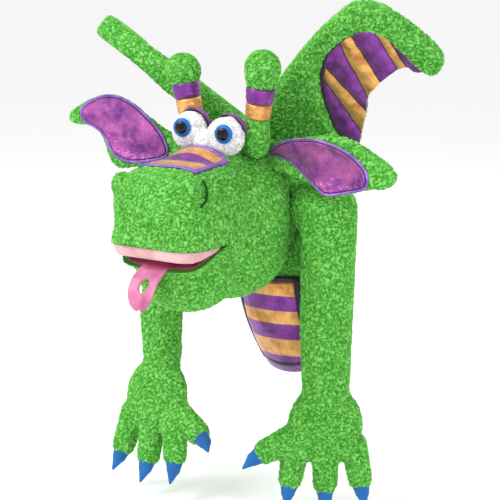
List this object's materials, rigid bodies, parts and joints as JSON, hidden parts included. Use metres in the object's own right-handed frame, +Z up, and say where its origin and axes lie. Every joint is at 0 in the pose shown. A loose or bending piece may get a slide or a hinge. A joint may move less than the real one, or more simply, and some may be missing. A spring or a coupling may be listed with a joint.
{
  "type": "moving mouth hand puppet",
  "caption": "Soft dragon hand puppet: a mouth worked from inside the head, hanging stuffed arms, floppy ears, soft horns and striped wings.",
  "frame": {"origin": "centre of the hand opening at the sleeve's hem", "axes": "+Z up, the puppet looks along -Y, +X is its own left side"},
  "size_m": [0.3702, 0.3019, 0.456],
  "materials": {
    "green_fleece": "matte",
    "purple_lame": "satin",
    "ear_lining_lame": "satin",
    "gold_lame": "satin",
    "striped_lame": "satin",
    "dark_binding": "satin",
    "fibre_filling": "matte",
    "knit_lining": "matte",
    "mouth_board": "matte",
    "pale_satin": "satin",
    "crimson_satin": "satin",
    "tongue_satin": "satin",
    "white_fleece": "matte",
    "blue_plastic": "gloss",
    "black_plastic": "gloss",
    "washer_plastic": "matte",
    "claw_felt": "matte"
  },
  "bodies": {
    "torso": {"body_cover": "green_fleece", "body_lining": "knit_lining", "belly_panel": "striped_lame", "belly_binding": "dark_binding", "sleeve_hem": "dark_binding", "back_ridge": "striped_lame"},
    "neck": {"neck_cover": "green_fleece"},
    "head": {"head_cover": "green_fleece", "head_stuffing": "fibre_filling", "finger_pocket": "knit_lining", "upper_mouth_board": "mouth_board", "upper_palate": "pale_satin", "throat_gusset": "green_fleece", "eye_whites": "white_fleece", "eye_iris_left": "blue_plastic", "eye_iris_right": "blue_plastic", "eye_pupils": "black_plastic", "eye_washers": "washer_plastic", "eyelid_trim": "purple_lame", "nose_patch": "striped_lame", "nose_patch_binding": "purple_lame", "nostril_left": "green_fleece", "nostril_right": "green_fleece"},
    "jaw": {"jaw_cover": "green_fleece", "jaw_stuffing": "fibre_filling", "thumb_pocket": "knit_lining", "lower_mouth_board": "mouth_board", "lower_palate": "crimson_satin"},
    "tongue_flap": {"tongue": "tongue_satin"},
    "ear_left": {"ear_back_left": "green_fleece", "ear_lining_left": "ear_lining_lame"},
    "horn_left": {"horn_stalk_left": "green_fleece", "horn_gold_band_left": "gold_lame", "horn_purple_band_left": "purple_lame", "horn_tip_left": "green_fleece"},
    "arm_left": {"arm_cover_left": "green_fleece", "arm_stuffing_left": "fibre_filling"},
    "hand_left": {"hand_cover_left": "green_fleece", "hand_stuffing_left": "fibre_filling", "claws_left": "claw_felt"},
    "wing_left": {"wing_arch_left": "green_fleece", "wing_membrane_left": "striped_lame", "wing_backing_left": "green_fleece"},
    "ear_right": {"ear_back_right": "green_fleece", "ear_lining_right": "ear_lining_lame"},
    "horn_right": {"horn_stalk_right": "green_fleece", "horn_gold_band_right": "gold_lame", "horn_purple_band_right": "purple_lame", "horn_tip_right": "green_fleece"},
    "arm_right": {"arm_cover_right": "green_fleece", "arm_stuffing_right": "fibre_filling"},
    "hand_right": {"hand_cover_right": "green_fleece", "hand_stuffing_right": "fibre_filling", "claws_right": "claw_felt"},
    "wing_right": {"wing_arch_right": "green_fleece", "wing_membrane_right": "striped_lame", "wing_backing_right": "green_fleece"}
  },
  "joints": [
    {"name": "neck_turn", "type": "hinge", "parent": "torso", "child": "neck", "pos_m": [0, -0.076, 0.122], "axis": [0, 0, 1], "range_deg": [-2, 5], "deforming": ["neck_cover"]},
    {"name": "head_nod", "type": "hinge", "parent": "neck", "child": "head", "pos_m": [0, -0.076, 0.122], "axis": [1, 0, 0], "range_deg": [-9, 3], "deforming": ["neck_cover"]},
    {"name": "mouth", "type": "hinge", "parent": "head", "child": "jaw", "pos_m": [0, -0.194, 0.116], "axis": [1, 0, 0], "range_deg": [-22, 20], "deforming": ["throat_gusset"]},
    {"name": "tongue_lift", "type": "hinge", "parent": "jaw", "child": "tongue_flap", "pos_m": [0, -0.21478, 0.1055], "axis": [-1, 0, 0], "range_deg": [0, 20]},
    {"name": "ear_swing_left", "type": "hinge", "parent": "head", "child": "ear_left", "pos_m": [0.044, -0.122, 0.187], "axis": [0, 0, -1], "range_deg": [-8, 25], "stiffness_Nm_per_rad": 0.02},
    {"name": "horn_sway_left", "type": "hinge", "parent": "head", "child": "horn_left", "pos_m": [0.034, -0.14, 0.2], "axis": [1, 0, 0], "range_deg": [-10, 10], "stiffness_Nm_per_rad": 0.05},
    {"name": "shoulder_left", "type": "hinge", "parent": "torso", "child": "arm_left", "pos_m": [0.08, -0.092, 0.14], "axis": [1, 0, 0], "range_deg": [-70, 12], "stiffness_Nm_per_rad": 0.15, "springref_deg": -1.66},
    {"name": "wrist_left", "type": "hinge", "parent": "arm_left", "child": "hand_left", "pos_m": [0.08, -0.09577, -0.02193], "axis": [1, 0, 0], "range_deg": [-15, 15], "stiffness_Nm_per_rad": 0.05, "springref_deg": -1.15},
    {"name": "wing_swing_left", "type": "hinge", "parent": "torso", "child": "wing_left", "pos_m": [0.032, -0.048, 0.185], "axis": [0, 0, 1], "range_deg": [-6, 18], "stiffness_Nm_per_rad": 0.1},
    {"name": "ear_swing_right", "type": "hinge", "parent": "head", "child": "ear_right", "pos_m": [-0.044, -0.122, 0.187], "axis": [0, 0, -1], "range_deg": [-25, 8], "stiffness_Nm_per_rad": 0.02},
    {"name": "horn_sway_right", "type": "hinge", "parent": "head", "child": "horn_right", "pos_m": [-0.034, -0.14, 0.2], "axis": [1, 0, 0], "range_deg": [-10, 10], "stiffness_Nm_per_rad": 0.05},
    {"name": "shoulder_right", "type": "hinge", "parent": "torso", "child": "arm_right", "pos_m": [-0.08, -0.092, 0.14], "axis": [1, 0, 0], "range_deg": [-35, 35], "stiffness_Nm_per_rad": 0.15, "springref_deg": -15.13},
    {"name": "wrist_right", "type": "hinge", "parent": "arm_right", "child": "hand_right", "pos_m": [-0.08, -0.13592, -0.01266], "axis": [1, 0, 0], "range_deg": [-15, 15], "stiffness_Nm_per_rad": 0.05},
    {"name": "wing_swing_right", "type": "hinge", "parent": "torso", "child": "wing_right", "pos_m": [-0.032, -0.048, 0.185], "axis": [0, 0, 1], "range_deg": [-18, 6], "stiffness_Nm_per_rad": 0.1}
  ]
}
